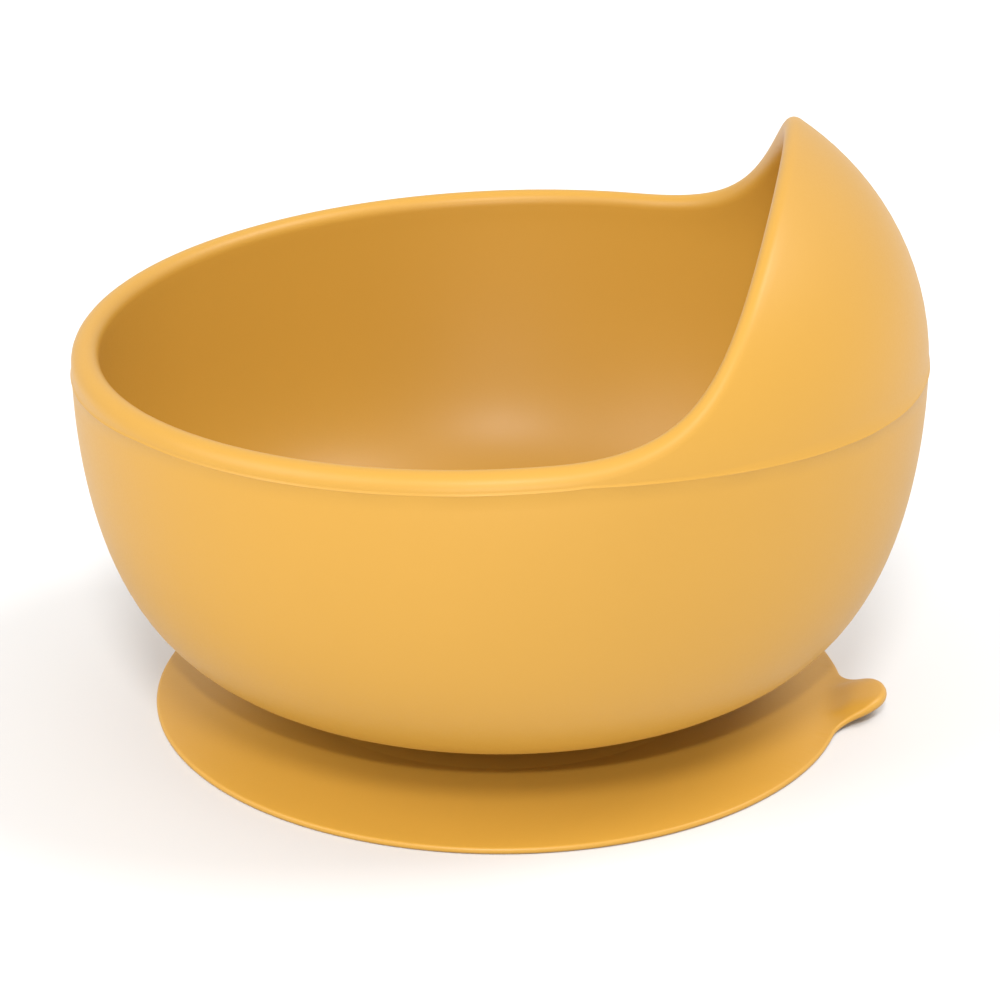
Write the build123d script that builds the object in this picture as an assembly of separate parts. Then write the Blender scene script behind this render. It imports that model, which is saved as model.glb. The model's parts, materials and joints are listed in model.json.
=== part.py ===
"""Silicone baby bowl on a suction base.

Frame: millimetres, +Z up, origin on the table under the centre of the bowl.
The hood (the tall part of the wall) and the release tab both point towards +X, and XZ is the plane of symmetry.
Each function makes one piece, and main writes each of them to its own STEP file.
"""
import os
from math import cos, pi, sin

from build123d import *

# Bowl body, from its flat underside to the widest level, and the dome that the hood is cut from
bowl_radius = 62.0
equator_height = 54.85
underside_height = 8.4
side_fullness = 2.0
base_fullness = 5.85
dome_arc_radius = 37.8
wall = 4.0
floor_thickness = 4.2
rim_flat = 0.2

# Rim line, seen from the side: a straight lip that climbs gently, then a curve up to the tip of the hood.
# Its heights are above the widest level of the bowl, and its insets are inwards from the bowl's radius.
rim_front_rise = 3.0
rim_back_inset = 47.2
rim_back_rise = 6.1
hood_sweep = 19.0
hood_tip_inset = 21.3
hood_tip_rise = 34.5
hood_run = 20.7
hood_slope = 3.8

# Suction base, from the stem outwards to the sealing lip
cup_ceiling = 4.2
neck_radius = 20.0
membrane = 1.6
membrane_width = 12.0
membrane_drop = 2.6
skirt_radius = 51.8
foot_width = 7.8
skirt_knee_thickness = 1.9
lip_thickness = 1.0
lip_edge_round = 0.35

# Release tab, on the lip: its hinge line lies inside the lip's edge, and its tongue reaches past it
tab_hinge_inset = 1.7
tab_gap = 0.3
tab_reach = 6.4
tab_half_width = 6.2
tab_root_fillet = 4.0
tab_thickness = 1.9
tab_curl = 1.0
tab_flat_length = 2.5
tab_edge_round = 0.6

# Levels and radii that follow from those
rim_back_x = bowl_radius - rim_back_inset
hood_tip_x = bowl_radius - hood_tip_inset
rim_front_height = equator_height + rim_front_rise
rim_back_height = equator_height + rim_back_rise
hood_tip_height = equator_height + hood_tip_rise
membrane_outer_radius = neck_radius + membrane_width
membrane_outer_height = cup_ceiling - membrane_drop
foot_inner_radius = skirt_radius - foot_width
tab_hinge_x = skirt_radius - tab_hinge_inset
tab_tip_x = skirt_radius + tab_reach

# Construction: how many steps the side curve takes, and how far a cutting block runs past the bowl
profile_steps = 14
overshoot = 10.0


def side_curve(radius, depth):
    """The body's side from the widest level down to the centre of the underside, a superellipse in XZ."""
    points = []
    for step in range(profile_steps + 1):
        angle = pi / 2 * step / profile_steps
        across = radius * max(cos(angle), 0.0) ** (2 / base_fullness)
        down = depth * sin(angle) ** (2 / side_fullness)
        points.append((across, 0, equator_height - down))
    points[-1] = (0, 0, equator_height - depth)
    return Spline(*points, tangents=[(0, 0, -1), (-1, 0, 0)])


def dome_solid(offset_in, floor):
    """A solid of revolution: the body's outer form, or its hollow when offset inwards by the wall."""
    radius = bowl_radius - offset_in
    arc_radius = dome_arc_radius - offset_in
    side = side_curve(radius, equator_height - underside_height - floor)
    arc_centre_x = bowl_radius - dome_arc_radius
    crown = ThreePointArc(
        (radius, 0, equator_height),
        (arc_centre_x + arc_radius * cos(pi / 4), 0, equator_height + arc_radius * sin(pi / 4)),
        (arc_centre_x, 0, equator_height + arc_radius),
    )
    top = Line((arc_centre_x, 0, equator_height + arc_radius), (0, 0, equator_height + arc_radius))
    axis_line = Line((0, 0, equator_height + arc_radius), (0, 0, underside_height + floor))
    return revolve(make_face([side, crown, top, axis_line]), Axis.Z)


def rim_cutter():
    """Everything above the rim line, as a solid that runs right across the bowl."""
    slope = (rim_back_height - rim_front_height) / (rim_back_x + bowl_radius)
    front_x = -bowl_radius - overshoot
    front = (front_x, 0, rim_back_height - slope * (rim_back_x - front_x))
    back = (rim_back_x, 0, rim_back_height)
    rise = Vector(1, 0, hood_slope).normalized() * hood_run
    tip = Vector(hood_tip_x, 0, hood_tip_height)
    sweep_end = (rim_back_x + hood_sweep, 0, rim_back_height + slope * hood_sweep)
    past_tip = tip + rise
    top = past_tip.Z + overshoot
    edges = [
        Line(front, back),
        Bezier(back, sweep_end, tip - rise, tip),
        Line(tip, past_tip),
        Line(past_tip, (past_tip.X, 0, top)),
        Line((past_tip.X, 0, top), (front_x, 0, top)),
        Line((front_x, 0, top), front),
    ]
    return extrude(make_face(edges), bowl_radius + overshoot, dir=(0, 1, 0), both=True)


def make_bowl():
    """The open shell with its hood, its rim rounded over nearly the whole wall."""
    whole = dome_solid(0, 0) - dome_solid(wall, floor_thickness)
    cutter = rim_cutter()
    shell = whole - cutter
    cut_edges = new_edges(whole, cutter, combined=shell)
    long_edges = [edge for edge in cut_edges if edge.length > 1.5 * wall]
    return fillet(long_edges, (wall - rim_flat) / 2)


def ring_profile(points):
    """A closed straight-sided section in XZ, turned about Z."""
    corners = [(x, 0, z) for x, z in points]
    return revolve(make_face(Polyline(*corners, close=True)), Axis.Z)


def make_neck():
    stem = Cylinder(neck_radius, underside_height, align=(Align.CENTER, Align.CENTER, Align.MIN))
    stem = Pos(0, 0, cup_ceiling) * stem
    return stem - dome_solid(0, 0)


def make_membrane():
    return ring_profile([
        (neck_radius, cup_ceiling),
        (membrane_outer_radius, membrane_outer_height),
        (membrane_outer_radius, membrane_outer_height + membrane),
        (neck_radius, cup_ceiling + membrane),
    ])


def make_lip_ring():
    """The whole skirt ring, before the strip with the tab is parted from it."""
    ring = ring_profile([
        (membrane_outer_radius, membrane_outer_height),
        (foot_inner_radius, 0),
        (skirt_radius, 0),
        (skirt_radius, lip_thickness),
        (foot_inner_radius, skirt_knee_thickness),
        (membrane_outer_radius, membrane_outer_height + membrane),
    ])
    rim = ring.edges().filter_by(GeomType.CIRCLE).group_by(SortBy.RADIUS)[-1]
    return fillet(rim, lip_edge_round)


def beyond(x):
    """A block that holds everything past x."""
    size = 4 * bowl_radius
    return Pos(x, 0, 0) * Box(size, size, size, align=(Align.MIN, Align.CENTER, Align.CENTER))


def make_skirt():
    return make_lip_ring() - beyond(tab_hinge_x - tab_gap / 2)


def make_tab():
    tongue_centre = tab_tip_x - tab_half_width
    outline = Circle(skirt_radius) + Pos(tongue_centre, 0) * Circle(tab_half_width)
    corners = [v for v in outline.vertices() if v.X > foot_inner_radius and abs(v.Y) > tab_half_width / 2]
    outline = fillet(corners, tab_root_fillet)
    root_x = tab_hinge_x + tab_gap / 2
    bend_x = tab_hinge_x + tab_flat_length
    tip = (tab_tip_x + lip_thickness, tab_curl)
    lower = Line((root_x, 0, 0), (bend_x, 0, 0))
    lower_curl = TangentArc((bend_x, 0, 0), (tip[0], 0, tip[1]), tangent=(1, 0, 0))
    upper_curl = TangentArc((bend_x, 0, tab_thickness), (tip[0], 0, tip[1] + tab_thickness), tangent=(1, 0, 0))
    section = make_face([
        lower,
        lower_curl,
        Line((tip[0], 0, tip[1]), (tip[0], 0, tip[1] + tab_thickness)),
        upper_curl,
        Line((bend_x, 0, tab_thickness), (root_x, 0, lip_thickness)),
        Line((root_x, 0, lip_thickness), (root_x, 0, 0)),
    ])
    strip = extrude(section, skirt_radius, dir=(0, 1, 0), both=True)
    tab = strip & extrude(outline, tab_thickness * 3)
    far_edges = [edge for edge in tab.edges() if edge.center().X > tongue_centre]
    top_edges = [edge for edge in far_edges if edge.center().Z > tab_thickness]
    return fillet(top_edges, tab_edge_round)


def main():
    pieces = {
        "bowl": make_bowl(),
        "neck": make_neck(),
        "suction_membrane": make_membrane(),
        "sealing_skirt": make_skirt(),
        "release_tab": make_tab(),
    }
    os.makedirs("parts", exist_ok=True)
    for name, piece in pieces.items():
        export_step(piece, f"parts/{name}.step")


main()
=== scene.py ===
"""Looks of a silicone baby bowl on a suction base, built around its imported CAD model.

Everything is in metres, in the CAD model's own frame: +Z up, the origin on the table under the bowl's centre,
the hood and the release tab towards +X.
"""

import json
from math import atan2, cos, hypot, pi, radians, sin, sqrt

import bpy
from bpy.props import FloatProperty, FloatVectorProperty, IntProperty, PointerProperty
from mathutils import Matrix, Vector, noise


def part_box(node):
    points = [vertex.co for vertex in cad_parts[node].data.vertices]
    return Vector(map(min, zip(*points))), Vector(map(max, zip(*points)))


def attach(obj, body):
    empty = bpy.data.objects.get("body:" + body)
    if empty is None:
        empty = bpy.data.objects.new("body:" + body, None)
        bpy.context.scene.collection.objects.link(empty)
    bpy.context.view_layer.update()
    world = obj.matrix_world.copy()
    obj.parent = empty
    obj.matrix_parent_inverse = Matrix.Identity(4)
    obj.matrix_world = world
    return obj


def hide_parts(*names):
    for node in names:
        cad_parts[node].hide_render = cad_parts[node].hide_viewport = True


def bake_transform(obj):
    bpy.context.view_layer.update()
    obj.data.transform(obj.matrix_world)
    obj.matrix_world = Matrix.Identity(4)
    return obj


bl_info = {
    "name": "Suction bowl",
    "version": (1, 0, 0),
    "blender": (4, 5, 0),
    "location": "3D View > Sidebar > Suction bowl",
    "description": "Models a silicone baby bowl, its suction base and a small studio",
    "category": "Add Mesh",
}

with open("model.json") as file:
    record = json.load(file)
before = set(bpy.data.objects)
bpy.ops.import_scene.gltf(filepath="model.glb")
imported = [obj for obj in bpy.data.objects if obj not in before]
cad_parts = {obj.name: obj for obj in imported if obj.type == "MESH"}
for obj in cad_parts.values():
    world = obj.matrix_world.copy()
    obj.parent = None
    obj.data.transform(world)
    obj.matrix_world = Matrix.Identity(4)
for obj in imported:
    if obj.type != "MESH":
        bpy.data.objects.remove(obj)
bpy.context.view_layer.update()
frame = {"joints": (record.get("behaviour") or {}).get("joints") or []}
MM = 0.001
BOWL_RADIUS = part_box("bowl")[1].y
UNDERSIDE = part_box("neck")[1].z
STEM_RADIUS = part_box("neck")[1].y
CUP_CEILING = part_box("neck")[0].z
MEMBRANE_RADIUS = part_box("suction_membrane")[1].y
MEMBRANE_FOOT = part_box("suction_membrane")[0].z
MEMBRANE_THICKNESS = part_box("suction_membrane")[1].z - CUP_CEILING
SKIRT_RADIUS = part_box("sealing_skirt")[1].y
TAB_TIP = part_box("release_tab")[1].x
TAB_HINGE = next(joint for joint in frame["joints"] if joint["name"] == "tab_lift")["pos_m"]


def millimetres(name, value, description):
    return FloatProperty(name=name, description=description, default=value * MM, unit="LENGTH", precision=5)


def ratio(name, value, description):
    return FloatProperty(name=name, description=description, default=value, min=0)


def angle(name, value, description):
    return FloatProperty(
        name=name, description=description, default=radians(value), subtype="ANGLE", unit="ROTATION"
    )


def colour(name, value, description):
    return FloatVectorProperty(
        name=name, description=description, default=value, subtype="COLOR", size=3, min=0, max=1
    )


class BowlSizes(bpy.types.PropertyGroup):
    equator: millimetres("Widest level", 54.85, "Height of the bowl's widest level above the table")
    dome_arc: millimetres("Dome arc", 37.8, "Radius of the arc that the wall follows above its widest level")
    side_fullness: ratio("Side fullness", 2.0, "How full the wall is below its widest level")
    base_fullness: ratio("Base fullness", 5.85, "How flat the underside is")
    wall: millimetres("Wall", 4.0, "Thickness of the silicone wall")
    floor: millimetres("Floor", 4.2, "Thickness of the bowl's floor")
    front_rise: millimetres("Front rise", 3.0, "How far the rim stands above the widest level at the front")
    back_rise: millimetres("Back rise", 6.1, "How far the rim stands above the widest level where the hood begins")
    back_inset: millimetres("Hood start", 47.2, "Where the hood begins, inwards from the back of the bowl")
    hood_sweep: millimetres("Hood sweep", 19.0, "How long the rim line stays low as it turns up into the hood")
    hood_run: millimetres("Hood run", 20.7, "How long the rim line stays steep below the tip of the hood")
    hood_slope: ratio("Hood slope", 3.8, "Steepness of the rim line at the tip of the hood")
    tip_rise: millimetres("Tip rise", 34.5, "How far the tip of the hood stands above the widest level")
    tip_inset: millimetres("Tip inset", 21.3, "How far the tip of the hood leans inwards from the back of the bowl")
    mould_front: millimetres("Mould line front", -1.2, "Height of the mould line over the widest level at the front")
    mould_side: millimetres("Mould line side", 3.9, "Height of the mould line over the widest level at the sides")
    mould_back: millimetres("Mould line back", 0.6, "Height of the mould line over the widest level at the back")
    mould_bead: millimetres("Mould bead", 0.16, "How far the mould line stands proud of the wall")
    columns: IntProperty(name="Columns", description="Columns of faces round the bowl", default=288, min=32)


class BaseSizes(bpy.types.PropertyGroup):
    foot_width: millimetres("Foot width", 7.8, "Width of the flat ring that seals on the table")
    knee: millimetres("Knee", 1.9, "Thickness of the skirt over the inner edge of its foot")
    lip: millimetres("Lip", 1.0, "Thickness of the sealing lip")
    tab_half_width: millimetres("Tab half width", 6.3, "Half the width of the release tab")
    tab_root: millimetres("Tab root", 6.5, "Radius of the fillets where the tab leaves the lip")
    tab_thickness: millimetres("Tab thickness", 1.9, "Thickness of the release tab")
    tab_curl: millimetres("Tab curl", 1.9, "How far the tip of the tab stands off the table")
    columns: IntProperty(name="Columns", description="Columns of faces round the base", default=400, min=64)


class Studio(bpy.types.PropertyGroup):
    silicone: colour("Silicone", (0.45, 0.238, 0.033), "Colour of the silicone")
    floor: colour("Floor", (0.68, 0.68, 0.68), "Colour of the floor")
    air: ratio("Air", 0.88, "Strength of the even light that comes from all round")
    key_power: ratio("Key power", 117.0, "Watts of the light over the camera")
    side_power: ratio("Side power", 47.0, "Watts of the wide soft light on the left")
    hood_power: ratio("Hood power", 140.0, "Watts of the high light on the side of the hood")
    base_power: ratio("Base power", 115.0, "Watts of the low light that reaches under the bowl, to its base only")
    face_power: ratio("Face power", 45.0, "Watts of the wide soft light on the front of the bowl")
    target: millimetres("Target height", 31.33, "Height of the point that the camera looks at")
    distance: millimetres("Camera distance", 520.0, "Distance of the camera from that point")
    azimuth: angle("Camera azimuth", 7.1, "Direction of the camera round the bowl")
    elevation: angle("Camera elevation", 22.88, "Height of the camera over that point, as an angle")
    lens: ratio("Lens", 126.44, "Focal length of the camera in millimetres")


# ------------------------------------------------------------------ shaping tools

def only(piece):
    """Leaves object mode with nothing but this piece selected."""
    if bpy.context.object and bpy.context.object.mode != "OBJECT":
        bpy.ops.object.mode_set(mode="OBJECT")
    bpy.ops.object.select_all(action="DESELECT")
    if piece:
        piece.select_set(True)
        bpy.context.view_layer.objects.active = piece


def lathe(name, columns, section, closed=False):
    """Turns a section, a list of (radius, height), by extruding a ring of edges from each point to the next.

    A closed section comes back to its first point and makes a ring. An open one is left open at both of its ends.
    """
    only(None)
    bpy.ops.mesh.primitive_circle_add(vertices=columns, radius=section[0][0], location=(0, 0, section[0][1]))
    piece = bpy.context.object
    piece.name = piece.data.name = name
    bpy.ops.object.transform_apply(location=True)
    bpy.ops.object.mode_set(mode="EDIT")
    bpy.ops.mesh.select_all(action="SELECT")
    for (radius, height), (next_radius, next_height) in zip(section, section[1:]):
        move = {"value": (0, 0, next_height - height)}
        bpy.ops.mesh.extrude_edges_move(TRANSFORM_OT_translate=move)
        scale = next_radius / radius
        bpy.ops.transform.resize(value=(scale, scale, 1), center_override=(0, 0, next_height))
    if closed:
        bpy.ops.mesh.select_mode(type="EDGE")
        bpy.ops.mesh.select_all(action="DESELECT")
        bpy.ops.mesh.select_non_manifold()
        bpy.ops.mesh.bridge_edge_loops()
    bpy.ops.object.mode_set(mode="OBJECT")
    return piece


def rings(piece, columns):
    """The vertices of a lathe-turned piece, one list for each point of its section, in the order they were made."""
    vertices = piece.data.vertices
    return [[vertices[i] for i in range(first, first + columns)] for first in range(0, len(vertices), columns)]


def cap_ends(piece):
    """Closes each open ring with a fan of faces, and points every face outwards."""
    only(piece)
    bpy.ops.object.mode_set(mode="EDIT")
    bpy.ops.mesh.select_mode(type="EDGE")
    bpy.ops.mesh.select_all(action="DESELECT")
    bpy.ops.mesh.select_non_manifold()
    bpy.ops.mesh.edge_face_add()
    bpy.ops.mesh.poke()
    bpy.ops.mesh.select_all(action="SELECT")
    bpy.ops.mesh.normals_make_consistent(inside=False)
    bpy.ops.object.mode_set(mode="OBJECT")


def point_outwards(piece):
    only(piece)
    bpy.ops.object.mode_set(mode="EDIT")
    bpy.ops.mesh.select_all(action="SELECT")
    bpy.ops.mesh.normals_make_consistent(inside=False)
    bpy.ops.object.mode_set(mode="OBJECT")


def smooth(piece, angle=40):
    only(piece)
    bpy.ops.object.shade_smooth_by_angle(angle=radians(angle))


def ease(t):
    t = min(max(t, 0.0), 1.0)
    return t * t * (3 - 2 * t)


def mix(a, b, t):
    return a + (b - a) * t


# ------------------------------------------------------------------ form of the bowl

class Section:
    """One side of the bowl's wall in section, from the axis up over the dome that the hood is cut from."""

    SAMPLES = 400
    DOME_END = 1.45
    RIM_STEP = 0.004
    LEAST_LEAN = 0.25

    def __init__(self, sizes, inset, floor):
        radius, depth = BOWL_RADIUS - inset, sizes.equator - UNDERSIDE - floor
        arc, arc_centre = sizes.dome_arc - inset, BOWL_RADIUS - sizes.dome_arc
        points = []
        for step in range(self.SAMPLES + 1):
            angle = pi / 2 * (1 - step / self.SAMPLES) ** 2
            across = radius * max(cos(angle), 0.0) ** (2 / sizes.base_fullness)
            points.append((across, sizes.equator - depth * sin(angle) ** (2 / sizes.side_fullness)))
        points[0] = (0.0, sizes.equator - depth)
        for step in range(1, self.SAMPLES + 1):
            angle = self.DOME_END * step / self.SAMPLES
            points.append((arc_centre + arc * cos(angle), sizes.equator + arc * sin(angle)))
        self.points = points
        self.lengths = [0.0]
        for (r0, z0), (r1, z1) in zip(points, points[1:]):
            self.lengths.append(self.lengths[-1] + hypot(r1 - r0, z1 - z0))

    def at(self, length, turn=0.0):
        """The point at a length along the section, once the section is turned about the axis."""
        low, high = 0, len(self.lengths) - 1
        while high - low > 1:
            middle = (low + high) // 2
            if self.lengths[middle] <= length:
                low = middle
            else:
                high = middle
        share = (length - self.lengths[low]) / (self.lengths[high] - self.lengths[low])
        (r0, z0), (r1, z1) = self.points[low], self.points[high]
        radius = mix(r0, r1, share)
        return Vector((radius * cos(turn), radius * sin(turn), mix(z0, z1, share)))

    def reach(self, line, turn):
        """The length at which the section, turned that far, crosses a line given as a height for each x."""
        low, high = 0.0, self.lengths[-1]
        for _ in range(36):
            middle = (low + high) / 2
            point = self.at(middle, turn)
            if point.z < line(point.x):
                low = middle
            else:
                high = middle
        return low

    def rim(self, sizes, turn):
        """The length at which the section meets the rim line, and the one at which the rim begins to round over."""
        def line(x):
            return rim_line(sizes, x)
        length = self.reach(line, turn)
        before, after = turn - self.RIM_STEP, turn + self.RIM_STEP
        along = (self.at(self.reach(line, after), after) - self.at(self.reach(line, before), before)).normalized()
        up = (self.at(length, turn) - self.at(length - 0.2 * MM, turn)).normalized()
        lean = max(up.cross(along).length, self.LEAST_LEAN)
        return length, length - 0.5 * sizes.wall / lean


def rim_line(sizes, x):
    """Height of the rim line at x, seen from the side: a straight lip, then a curve up to the tip of the hood."""
    back_x = BOWL_RADIUS - sizes.back_inset
    slope = (sizes.back_rise - sizes.front_rise) / (back_x + BOWL_RADIUS)
    back = Vector((back_x, sizes.equator + sizes.back_rise))
    tip = Vector((BOWL_RADIUS - sizes.tip_inset, sizes.equator + sizes.tip_rise))
    if x <= back.x:
        return back.y + slope * (x - back.x)
    if x >= tip.x:
        return tip.y + sizes.hood_slope * (x - tip.x)
    low = back + Vector((1, slope)) * sizes.hood_sweep
    high = tip - Vector((1, sizes.hood_slope)).normalized() * sizes.hood_run
    near, far = 0.0, 1.0
    for _ in range(40):
        t = (near + far) / 2
        point = back * (1 - t) ** 3 + low * 3 * t * (1 - t) ** 2 + high * 3 * t * t * (1 - t) + tip * t ** 3
        if point.x < x:
            near = t
        else:
            far = t
    return point.y


def mould_line(sizes, x):
    """Height of the mould line at x, seen from the side."""
    along = x / BOWL_RADIUS
    bow = (sizes.mould_front + sizes.mould_back) / 2 - sizes.mould_side
    lean = (sizes.mould_back - sizes.mould_front) / 2
    return sizes.equator + sizes.mould_side + lean * along + bow * along * along


# Rows of faces up the body, from the mould line to the rim, over each half of the rim, and down the inside
BODY_ROWS = 44
HOOD_ROWS = 16
ROUND_ROWS = 6
INNER_ROWS = 56
# How near the axis the columns stop, where one fan of faces closes the shell
POLE_RADIUS = 3 * MM
# Half the width of the mould line's bead, how much its height varies, and how many times it does so
BEAD_HALF = 0.28 * MM
BEAD_VARIATION = 0.5
BEAD_WAVES = 9


def quarter_round(start, corner, end, share):
    """A point on the quarter of an ellipse that leaves start towards the corner and arrives at end."""
    weight = sqrt(0.5)
    a, b, c = (1 - share) ** 2, 2 * weight * share * (1 - share), share ** 2
    return (start * a + corner * b + end * c) / (a + b + c)


def shell_column(sizes, outer, inner, turn):
    """One column of the shell's points: up the outside, over the rounded rim and down the inside."""
    outer_rim, outer_round = outer.rim(sizes, turn)
    inner_rim, inner_round = inner.rim(sizes, turn)
    mould = outer.reach(lambda x: mould_line(sizes, x), turn)
    mould = min(mould, outer_round - 2 * BEAD_HALF)
    below, above = mould - BEAD_HALF, mould + BEAD_HALF
    points = [outer.at(mix(POLE_RADIUS, below, i / BODY_ROWS), turn) for i in range(BODY_ROWS + 1)]
    bead = outer.at(mould, turn)
    outwards = Vector((cos(turn), sin(turn), 0))
    uneven = 1 + BEAD_VARIATION * noise.noise(outwards * BEAD_WAVES)
    points.append(bead + outwards * sizes.mould_bead * uneven)
    points += [outer.at(mix(above, outer_round, i / HOOD_ROWS), turn) for i in range(HOOD_ROWS)]
    corner_out, corner_in = outer.at(outer_rim, turn), inner.at(inner_rim, turn)
    start, crest, end = outer.at(outer_round, turn), (corner_out + corner_in) / 2, inner.at(inner_round, turn)
    points += [quarter_round(start, corner_out, crest, i / ROUND_ROWS) for i in range(ROUND_ROWS)]
    points += [quarter_round(crest, corner_in, end, i / ROUND_ROWS) for i in range(ROUND_ROWS)]
    points += [inner.at(mix(inner_round, POLE_RADIUS, i / INNER_ROWS), turn) for i in range(INNER_ROWS + 1)]
    return points


class SUCTION_BOWL_OT_shell(bpy.types.Operator):
    """Add the bowl's shell, with its rounded rim, its hood and its mould line"""
    bl_idname = "suction_bowl.shell"
    bl_label = "Bowl shell"

    def execute(self, context):
        sizes = context.scene.suction_bowl
        outer, inner = Section(sizes, 0, 0), Section(sizes, sizes.wall, sizes.floor)
        plain = [(hypot(point.x, point.y), point.z) for point in shell_column(sizes, outer, inner, pi)]
        shell = lathe("bowl_shell", sizes.columns, plain)
        for column in zip(*rings(shell, sizes.columns)):
            turn = atan2(column[0].co.y, column[0].co.x)
            for vertex, point in zip(column, shell_column(sizes, outer, inner, turn)):
                vertex.co = point
        cap_ends(shell)
        smooth(shell)
        shell.data.materials.append(silicone("silicone_of_bowl", context.scene.suction_studio))
        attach(shell, "bowl_body")
        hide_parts("bowl")
        return {"FINISHED"}


# ------------------------------------------------------------------ form of the base

CUP_STEPS = 8


class SUCTION_BOWL_OT_cup(bpy.types.Operator):
    """Add the stem under the bowl and the conical wall of the suction cup"""
    bl_idname = "suction_bowl.cup"
    bl_label = "Stem and cup wall"

    def execute(self, context):
        base = context.scene.suction_base
        low = []
        for i in range(CUP_STEPS + 1):
            share = i / CUP_STEPS
            low.append((mix(STEM_RADIUS, MEMBRANE_RADIUS, share), mix(CUP_CEILING, MEMBRANE_FOOT, share)))
        high = [(radius, height + MEMBRANE_THICKNESS) for radius, height in reversed(low)]
        cup = lathe("cup_wall", base.columns, low + high, closed=True)
        point_outwards(cup)
        shares = [i / CUP_STEPS for i in range(1, CUP_STEPS + 1)]
        stem_side = [(STEM_RADIUS * share, CUP_CEILING) for share in shares]
        stem_side += [(STEM_RADIUS, mix(CUP_CEILING, UNDERSIDE, share)) for share in shares]
        stem_side += [(STEM_RADIUS * (1 - share), UNDERSIDE) for share in shares[:-1]]
        stem = lathe("stem", base.columns, stem_side)
        cap_ends(stem)
        for piece in (cup, stem):
            smooth(piece)
            piece.data.materials.append(silicone("silicone_of_base", context.scene.suction_studio))
            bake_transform(piece)
        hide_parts("suction_membrane")
        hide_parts("neck")
        return {"FINISHED"}


def lip_outline(base, turn):
    """How far out the lip's edge is at that turn about the axis: the round lip, or the tab's tongue and fillets."""
    turn_size = abs(turn)
    tongue = TAB_TIP - base.tab_half_width
    fillet_reach = SKIRT_RADIUS + base.tab_root
    fillet_x = (fillet_reach ** 2 + tongue ** 2 - (base.tab_half_width + base.tab_root) ** 2) / (2 * tongue)
    fillet_y = sqrt(fillet_reach ** 2 - fillet_x ** 2)
    fillet_turn = atan2(fillet_y, fillet_x)
    if turn_size >= fillet_turn:
        return SKIRT_RADIUS
    share = base.tab_half_width / (base.tab_half_width + base.tab_root)
    tangent_turn = atan2(share * fillet_y, mix(tongue, fillet_x, share))
    if turn_size >= tangent_turn:
        away = turn_size - fillet_turn
        return fillet_reach * cos(away) - sqrt(base.tab_root ** 2 - (fillet_reach * sin(away)) ** 2)
    return tongue * cos(turn_size) + sqrt(base.tab_half_width ** 2 - (tongue * sin(turn_size)) ** 2)


def outline_point(base, turn):
    radius = lip_outline(base, turn)
    return Vector((radius * cos(turn), radius * sin(turn)))


# Rows of faces across the skirt: its sloping inside, its foot and lip, and its edge
INNER_STEPS = 6
LIP_STEPS = 10
EDGE_STEPS = 8
# How far either side of a point the direction of the edge is taken, in radians
SMALL_TURN = 1e-4
# How deep the edge's rounding goes, as a share of the thickness there
EDGE_ROUND = 0.45
# How far inside its hinge the tab starts to curl
CURL_START = 2 * MM
# Where the tab starts to thicken, inside the lip's edge, and over what length
THICKEN_START = 2.5 * MM
THICKEN_LENGTH = 4 * MM
# How strongly the columns of faces crowd towards the tab
CROWDING = 0.78


def lip_section(base):
    """The skirt's section as (place, share, side): place says which part of the section a point belongs to."""
    rows = [("inner", i / INNER_STEPS, -1) for i in range(INNER_STEPS)]
    rows += [("lip", i / LIP_STEPS, -1) for i in range(LIP_STEPS)]
    rows += [("edge", i / EDGE_STEPS, 0) for i in range(EDGE_STEPS + 1)]
    rows += [("lip", i / LIP_STEPS, 1) for i in reversed(range(LIP_STEPS))]
    rows += [("inner", i / INNER_STEPS, 1) for i in reversed(range(INNER_STEPS))]
    return rows


def tab_lift_at(base, flat):
    """How far the underside stands off the table there: the tab curls up from inside its hinge to its tip."""
    start = TAB_HINGE[0] - CURL_START
    return base.tab_curl * ease((flat.x - start) / (TAB_TIP - start))


def place_lip_point(base, row, turn):
    """Where a point of the skirt's section goes once the section is turned: its place in plan, and its height."""
    place, share, side = row
    foot = SKIRT_RADIUS - base.foot_width
    direction = Vector((cos(turn), sin(turn)))
    edge = outline_point(base, turn)
    along = outline_point(base, turn + SMALL_TURN) - outline_point(base, turn - SMALL_TURN)
    inward = Vector((-along.y, along.x)).normalized()
    in_tab = ease((edge.length - SKIRT_RADIUS) / (TAB_TIP - SKIRT_RADIUS))
    thickness = mix(base.lip, base.tab_thickness, in_tab)
    round_depth = EDGE_ROUND * thickness
    if place == "inner":
        flat = direction * mix(MEMBRANE_RADIUS, foot, share)
        low = mix(MEMBRANE_FOOT, 0, share)
        high = mix(MEMBRANE_FOOT + MEMBRANE_THICKNESS, base.knee, share)
        return flat, low if side < 0 else high
    inset = edge + inward * round_depth
    if place == "lip":
        flat = (direction * foot).lerp(inset, share)
        lift = tab_lift_at(base, flat)
        high = mix(base.knee, base.lip, min(1.0, (flat.length - foot) / (SKIRT_RADIUS - foot)))
        if in_tab > 0:
            high = mix(high, thickness, ease((flat.length - SKIRT_RADIUS + THICKEN_START) / THICKEN_LENGTH))
        return flat, lift + (0 if side < 0 else high)
    angle = pi * (share - 0.5)
    flat = inset - inward * round_depth * cos(angle)
    return flat, tab_lift_at(base, flat) + thickness * (0.5 + 0.5 * sin(angle))


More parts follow.
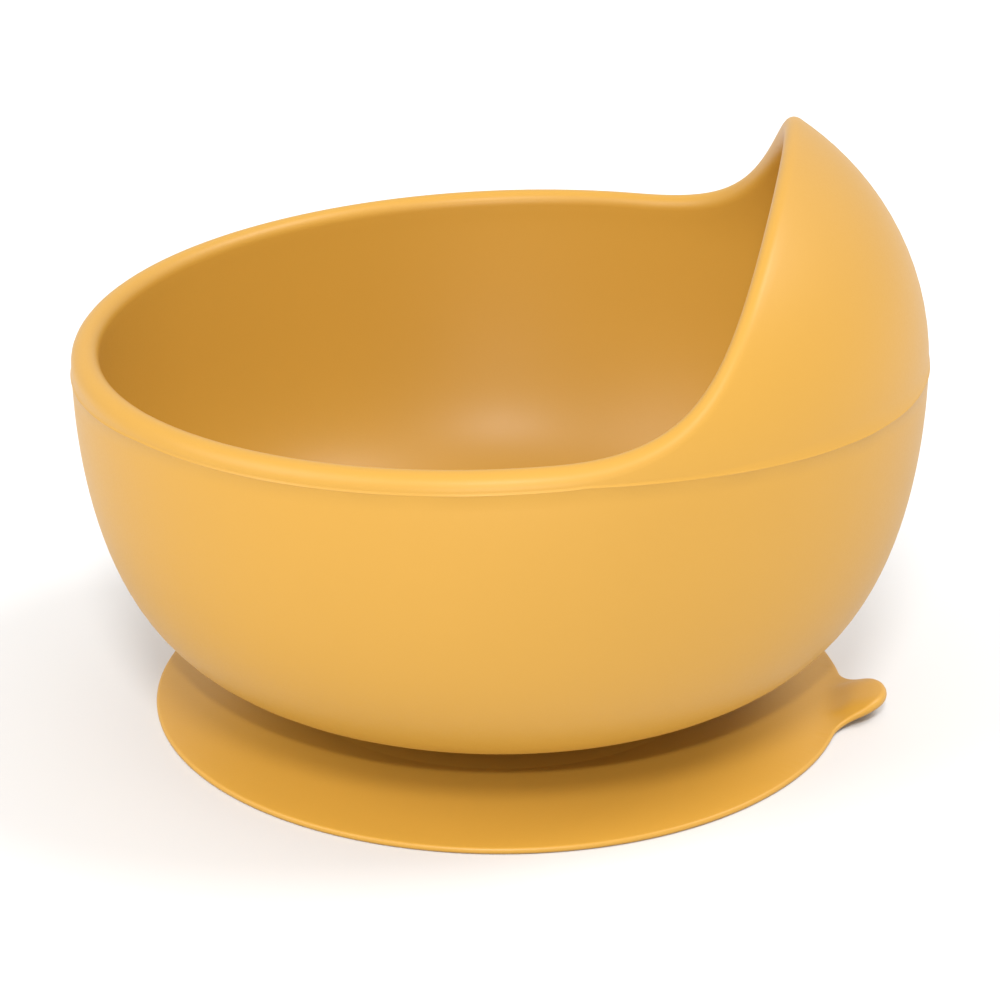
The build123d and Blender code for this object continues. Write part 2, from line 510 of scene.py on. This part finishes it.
class SUCTION_BOWL_OT_lip(bpy.types.Operator):
    """Add the sealing skirt with its thin lip and the release tab on it"""
    bl_idname = "suction_bowl.lip"
    bl_label = "Skirt, lip and tab"

    def execute(self, context):
        base = context.scene.suction_base
        rows = lip_section(base)
        plain = []
        for row in rows:
            flat, height = place_lip_point(base, row, pi)
            plain.append((flat.length, height))
        skirt = lathe("skirt_and_tab", base.columns, plain, closed=True)
        for row, ring in zip(rows, rings(skirt, base.columns)):
            for vertex in ring:
                turn = atan2(vertex.co.y, vertex.co.x)
                turn -= CROWDING * sin(turn)
                flat, height = place_lip_point(base, row, turn)
                vertex.co = (flat.x, flat.y, height)
        point_outwards(skirt)
        smooth(skirt)
        skirt.data.materials.append(silicone("silicone_of_base", context.scene.suction_studio))
        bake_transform(skirt)
        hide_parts("sealing_skirt", "release_tab")
        return {"FINISHED"}


# ------------------------------------------------------------------ finish

def silicone(name, studio):
    """Matte dyed silicone: an even colour that drifts very slightly, and a fine grain that softens the gloss."""
    found = bpy.data.materials.get(name)
    if found:
        return found
    material = bpy.data.materials.new(name)
    material.use_nodes = True
    nodes, links = material.node_tree.nodes, material.node_tree.links
    shader = nodes["Principled BSDF"]
    shader.inputs["IOR"].default_value = 1.41
    place = nodes.new("ShaderNodeTexCoord")
    drift = nodes.new("ShaderNodeTexNoise")
    drift.inputs["Scale"].default_value = 28
    drift.inputs["Detail"].default_value = 3
    tint = nodes.new("ShaderNodeMix")
    tint.data_type = "RGBA"
    base = Vector(studio.silicone)
    tint.inputs["A"].default_value = (*(base * 0.97), 1)
    tint.inputs["B"].default_value = (*(base * 1.03), 1)
    links.new(place.outputs["Object"], drift.inputs["Vector"])
    links.new(drift.outputs["Fac"], tint.inputs["Factor"])
    links.new(tint.outputs["Result"], shader.inputs["Base Color"])
    grain = nodes.new("ShaderNodeTexNoise")
    grain.inputs["Scale"].default_value = 2600
    grain.inputs["Detail"].default_value = 2
    links.new(place.outputs["Object"], grain.inputs["Vector"])
    bump = nodes.new("ShaderNodeBump")
    bump.inputs["Strength"].default_value = 0.25
    bump.inputs["Distance"].default_value = 0.03 * MM
    links.new(grain.outputs["Fac"], bump.inputs["Height"])
    links.new(bump.outputs["Normal"], shader.inputs["Normal"])
    gloss = nodes.new("ShaderNodeMapRange")
    gloss.inputs["To Min"].default_value = 0.38
    gloss.inputs["To Max"].default_value = 0.48
    links.new(grain.outputs["Fac"], gloss.inputs["Value"])
    links.new(gloss.outputs["Result"], shader.inputs["Roughness"])
    return material


def floor_finish(studio):
    material = bpy.data.materials.new("studio_floor")
    material.use_nodes = True
    shader = material.node_tree.nodes["Principled BSDF"]
    shader.inputs["Base Color"].default_value = (*studio.floor, 1)
    shader.inputs["Roughness"].default_value = 0.9
    shader.inputs["Specular IOR Level"].default_value = 0.1
    return material


# ------------------------------------------------------------------ studio

FLOOR_SIZE = 12
BASE_PIECES = ("skirt_and_tab", "cup_wall", "stem")
BOWL_PIECES = ("bowl_shell",)
# Each light's name, azimuth and elevation in degrees, distance and size in metres, the setting that holds its
# watts, and the only pieces that it lights, where it doesn't light everything
LIGHTS = [
    ("key", 6, 48, 5.0, 1.0, "key_power", None),
    ("side", -60, 35, 3.0, 2.2, "side_power", None),
    ("hood_light", 104, 54, 5.0, 2.5, "hood_power", None),
    ("base_light", 6, 35.5, 5.0, 0.2, "base_power", BASE_PIECES),
    ("face_light", 7, 6, 3.0, 1.6, "face_power", BOWL_PIECES),
]


def soft_light(name, position, aim, size, power):
    data = bpy.data.lights.new(name, "AREA")
    data.shape = "DISK"
    data.size = size
    data.energy = power
    light = bpy.data.objects.new(name, data)
    bpy.context.scene.collection.objects.link(light)
    light.location = position
    light.rotation_euler = (Vector(aim) - Vector(position)).to_track_quat("-Z", "Y").to_euler()
    return light


def keep_to(light, pieces):
    """Lets a light fall on these pieces only."""
    collection = bpy.data.collections.new(light.name + "_pieces")
    for piece in pieces:
        collection.objects.link(bpy.data.objects[piece])
    light.light_linking.receiver_collection = collection


def around(azimuth, elevation, distance, centre):
    """The point in a direction from the centre. Azimuth 0 is in front, at -Y, and goes up towards +X."""
    direction = (sin(azimuth) * cos(elevation), -cos(azimuth) * cos(elevation), sin(elevation))
    return Vector(centre) + Vector(direction) * distance


class SUCTION_BOWL_OT_studio(bpy.types.Operator):
    """Add the pale floor, the soft lights and the camera"""
    bl_idname = "suction_bowl.studio"
    bl_label = "Studio"

    def execute(self, context):
        studio = context.scene.suction_studio
        scene = context.scene
        only(None)
        bpy.ops.mesh.primitive_plane_add(size=FLOOR_SIZE, location=(0, 0, 0))
        floor = context.object
        floor.name = "studio_floor"
        floor.data.materials.append(floor_finish(studio))
        centre = (0, 0, studio.target)
        for name, azimuth, elevation, distance, size, power, pieces in LIGHTS:
            place = around(radians(azimuth), radians(elevation), distance, centre)
            light = soft_light(name, place, centre, size, getattr(studio, power))
            if pieces:
                keep_to(light, pieces)
        world = bpy.data.worlds.new("studio_air")
        world.use_nodes = True
        world.node_tree.nodes["Background"].inputs["Color"].default_value = (1, 1, 1, 1)
        world.node_tree.nodes["Background"].inputs["Strength"].default_value = studio.air
        scene.world = world
        scene.view_settings.view_transform = "Standard"
        camera = bpy.data.objects.new("camera", bpy.data.cameras.new("camera"))
        scene.collection.objects.link(camera)
        camera.data.lens = studio.lens
        camera.data.sensor_width = 36
        camera.data.clip_start = 0.01
        camera.location = around(studio.azimuth, studio.elevation, studio.distance, centre)
        camera.rotation_euler = (Vector(centre) - camera.location).to_track_quat("-Z", "Y").to_euler()
        scene.camera = camera
        return {"FINISHED"}


class SUCTION_BOWL_PT_panel(bpy.types.Panel):
    """Lists the pieces of the suction bowl and their sizes"""
    bl_label = "Suction bowl"
    bl_idname = "SUCTION_BOWL_PT_panel"
    bl_space_type = "VIEW_3D"
    bl_region_type = "UI"
    bl_category = "Suction bowl"

    def draw(self, context):
        for group, operators in PANEL_ROWS:
            settings = getattr(context.scene, group)
            for name in settings.bl_rna.properties.keys():
                if name not in ("name", "rna_type"):
                    self.layout.prop(settings, name)
            for operator in operators:
                self.layout.operator(operator.bl_idname)


PANEL_ROWS = [
    ("suction_bowl", [SUCTION_BOWL_OT_shell]),
    ("suction_base", [SUCTION_BOWL_OT_cup, SUCTION_BOWL_OT_lip]),
    ("suction_studio", [SUCTION_BOWL_OT_studio]),
]
CLASSES = [
    BowlSizes,
    BaseSizes,
    Studio,
    SUCTION_BOWL_OT_shell,
    SUCTION_BOWL_OT_cup,
    SUCTION_BOWL_OT_lip,
    SUCTION_BOWL_OT_studio,
    SUCTION_BOWL_PT_panel,
]


def register():
    for cls in CLASSES:
        bpy.utils.register_class(cls)
    bpy.types.Scene.suction_bowl = PointerProperty(type=BowlSizes)
    bpy.types.Scene.suction_base = PointerProperty(type=BaseSizes)
    bpy.types.Scene.suction_studio = PointerProperty(type=Studio)


def unregister():
    del bpy.types.Scene.suction_studio
    del bpy.types.Scene.suction_base
    del bpy.types.Scene.suction_bowl
    for cls in reversed(CLASSES):
        bpy.utils.unregister_class(cls)


def main():
    register()
    bpy.ops.suction_bowl.shell()
    bpy.ops.suction_bowl.cup()
    bpy.ops.suction_bowl.lip()
    bpy.ops.suction_bowl.studio()


if __name__ == "__main__":
    main()
